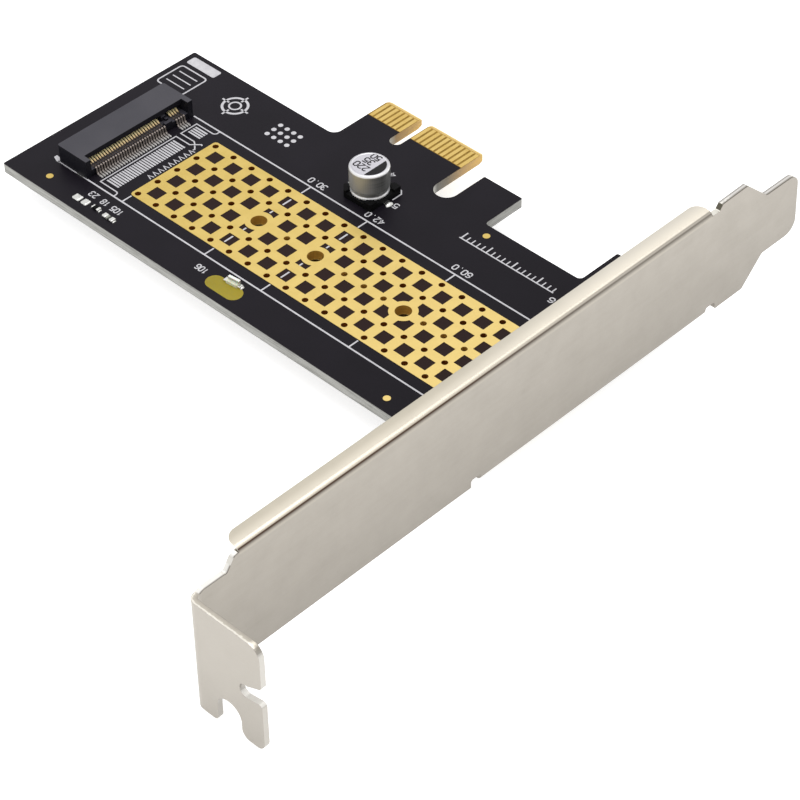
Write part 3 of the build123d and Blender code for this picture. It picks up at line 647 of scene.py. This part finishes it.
# contact map in front of the socket: a bar for each contact
for first, count in ((-9.20, 28), (7.52, 4)):
    for i in range(count):
        yy = first + 0.5 * i
        p.prism([(6.1, yy + 0.095), (8.75, yy + 0.095), (8.75, yy + 0.405), (6.1, yy + 0.405)], Z0, Z1)
p.stroke([(9.75, -10.82), (9.75, -10.45)] + arc(9.2, -10.45, 0.55, 0, 90, 6)[1:]
         + [(5.62, -9.90), (5.62, 5.60), (8.70, 5.60), (10.05, 6.85), (10.35, 6.70)], 0.22, Z0, Z1)
p.stroke([(9.75, 10.92), (9.75, 10.5)] + arc(9.2, 10.5, 0.55, 0, -90, 6)[1:]
         + [(5.62, 9.95), (5.62, 6.62), (8.65, 6.62), (9.20, 6.22)], 0.22, Z0, Z1)
p.stroke([(9.45, 6.00), (10.15, 5.35), (10.10, 5.0)], 0.22, Z0, Z1)
# insertion arrows beside the heat pad
for i in range(9):
    yy = -3.95 + 1.06 * i
    p.stroke([(10.75, yy - 0.34), (9.75, yy), (10.75, yy + 0.34)], 0.19, Z0, Z1)
# plain bar, blank label frame, aiming ring, dot block
p.prism(rounded(-7.60, 19.90, -1.30, 21.80, 0.35), Z0, Z1)
p.stroke(rounded(-7.45, 13.35, -1.65, 18.95, 0.6), 0.26, Z0, Z1, closed=True)
for yy in (14.75, 16.15, 17.55):
    p.stroke([(-6.6, yy), (-2.5, yy)], 0.22, Z0, Z1)
p.ring(6.55, 17.25, 2.05, 0.42, Z0, Z1)
p.ring(6.55, 17.25, 0.95, 0.30, Z0, Z1)
for a in (0, 90, 180, 270):
    ca, sa = math.cos(math.radians(a)), math.sin(math.radians(a))
    p.stroke([(6.55 + 1.35 * ca, 17.25 + 1.35 * sa), (6.55 + 2.85 * ca, 17.25 + 2.85 * sa)], 0.32, Z0, Z1)
for i in range(4):
    for j in range(3):
        p.disc(15.35 + 1.45 * i, 15.75 + 1.45 * j, 0.42, Z0, Z1, 20)
# millimetre scale along the far side
p.stroke([(54.3, 17.75), (72.9, 17.75)], 0.22, Z0, Z1)
for i in range(19):
    h = 1.45 if i % 5 == 0 else (0.95 if i % 5 else 0)
    p.stroke([(54.6 + i, 17.86), (54.6 + i, 17.86 + h)], 0.24 if i % 5 == 0 else 0.2, Z0, Z1)
# place marks of the small parts
for text, tx, ty, w in (("23", 7.35, -12.75, 1.45), ("18", 10.05, -12.85, 1.35), ("105", 12.75, -12.95, 2.15),
                        ("106", 31.95, -13.45, 2.1), ("5", 42.35, 16.55, 0.75), ("6", 73.8, 16.4, 0.8),
                        ("4", 36.7, 21.6, 0.8)):
    numerals(p, text, tx, ty, 1.05, w, 0.19, Z0, Z1, turn=180.0)
# outline corner of the capacitor's place
p.stroke([(40.95, 17.25), (40.95, 19.15), (40.30, 19.80), (38.9, 19.80)], 0.22, Z0, Z1)
p.stroke([(33.75, 17.25), (33.75, 19.80), (35.8, 19.80)], 0.22, Z0, Z1)
p.done()

# print on the can: filled segment on the negative side and plain numbers
zt = 5.46
p = Build("can_print", black_ink)
r = 2.70
a = math.degrees(math.acos(1.15 / r))
p.prism([(37.35 + px, 16.10 + py) for px, py in arc(0, 0, r, -a, a, 30)], zt + 0.002, zt + 0.014)
for text, tx, ty, w in (("220", -0.62, -1.10, 2.55), ("35", -0.60, 0.50, 1.70), ("50", -0.45, 1.95, 1.60)):
    numerals(p, text, 37.35 + tx, 16.10 + ty, 1.12, w, 0.21, zt + 0.002, zt + 0.014, turn=180.0)
p.done()

# lamp window: bare laminate, a thin patch raised slightly above the board face
p = Build("lamp_window", laminate)
p.prism(rounded(34.05, -15.60, 40.85, -12.62, 1.485, 14), 0.001, 0.008)
p.done()

# =====================================================================
# solder
# =====================================================================
p = Build("tail_solder", shaded_tin)
lower = [-9.0 + 0.5 * i for i in range(29)] + [7.5 + 0.5 * i for i in range(4)]
upper = [-9.25 + 0.5 * i for i in range(29)] + [7.25 + 0.5 * i for i in range(5)]
for yy in lower:
    p.mound(4.98, yy, 0.55, 0.30, 0.12, 0.001, lean=(-0.08, 0), n=4)
for yy in upper:
    p.mound(-3.50, yy, 0.55, 0.30, 0.12, 0.001, lean=(0.08, 0), n=4)
p.done(smooth=50)

p = Build("solder_joints", tin_mat)
p.mound(41.30, 16.10, 1.00, 1.45, 0.30, 0.001, lean=(-0.15, 0))
p.mound(33.62, 16.10, 0.75, 1.05, 0.16, 0.001, lean=(0.10, 0))
p.mound(36.25, -12.72, 0.55, 0.80, 0.24, 0.009, lean=(0.1, 0))
p.mound(39.42, -12.40, 0.55, 0.80, 0.24, 0.009, lean=(-0.1, 0))
for cx, cy in ((12.10, -14.97), (14.47, -14.97), (9.40, -14.72), (10.97, -14.72)):
    p.mound(cx, cy, 0.30, 0.75, 0.16, 0.001)
p.done(smooth=50)

# =====================================================================
# floor, light, camera
# =====================================================================
floor_z = cad_box[0][2] - 0.00002
bm = bmesh.new()
s = 3.0
bm.faces.new([bm.verts.new(c) for c in ((-s, -s, floor_z), (s, -s, floor_z), (s, s, floor_z), (-s, s, floor_z))])
mesh = bpy.data.meshes.new("floor")
bm.to_mesh(mesh)
bm.free()
m = Mat("pale_floor")
x, y, z = m.xyz()
# painted shadow: under the middle of the card the floor is painted dark brown and has no glow
shade = m.both(m.inside(x, 0.0140, 0.0840, 0.0020), m.inside(y, -0.0050, 0.0085, 0.0020))
pale = m.mix(m.remap(m.noise(6.0, 2.0), 0.4, 0.6, 0.0, 1.0), (0.64, 0.64, 0.64), (0.66, 0.66, 0.66))
m.set(Base_Color=m.mix(shade, pale, (0.060, 0.035, 0.010)), Roughness=0.85,
      Specular_IOR_Level=0.2, Emission_Color=(1.0, 1.0, 1.0), Emission_Strength=m.remap(shade, 0.0, 1.0, 0.75, 0.0))
mesh.materials.append(m.m)
floor = bpy.data.objects.new("floor", mesh)
bpy.context.scene.collection.objects.link(floor)

scene = bpy.context.scene
world = bpy.data.worlds.new("studio")
world.use_nodes = True
bg = world.node_tree.nodes["Background"]
bg.inputs[0].default_value = (1.0, 0.998, 0.992, 1.0)
bg.inputs[1].default_value = 0.92
scene.world = world
scene.view_settings.view_transform = "Standard"
scene.view_settings.look = "None"
scene.view_settings.exposure = 0.0


def area(name, at, target, size, power, color=(1, 1, 1)):
    light = bpy.data.lights.new(name, "AREA")
    light.shape = "RECTANGLE"
    light.size, light.size_y = size
    light.energy = power
    light.color = color
    o = bpy.data.objects.new(name, light)
    o.location = at
    o.rotation_euler = (Vector(target) - Vector(at)).to_track_quat("-Z", "Y").to_euler()
    scene.collection.objects.link(o)
    return o


centre = (0.045, 0.0, 0.0)
area("key", (0.10, 0.10, 1.15), centre, (0.9, 0.9), 5.2, (1.0, 0.99, 0.975))

cam_data = bpy.data.cameras.new("camera")
cam = bpy.data.objects.new("camera", cam_data)
scene.collection.objects.link(cam)
cam_data.sensor_fit = "HORIZONTAL"
cam_data.sensor_width = 36.0
cam_data.lens = 2906.654 * 36.0 / 800.0
cam_data.clip_start = 0.01
cam_data.clip_end = 20.0
right = Vector((0.716232197, 0.697750839, -0.012458207))
down = Vector((0.463310827, -0.48878107, -0.739213192))
ahead = Vector((-0.521875961, 0.523676266, -0.673356258))
rot = Matrix((right, -down, -ahead)).transposed()
cam.matrix_world = Matrix.Translation((0.283246197, -0.225005305, 0.271467899)) @ rot.to_4x4()
scene.camera = cam
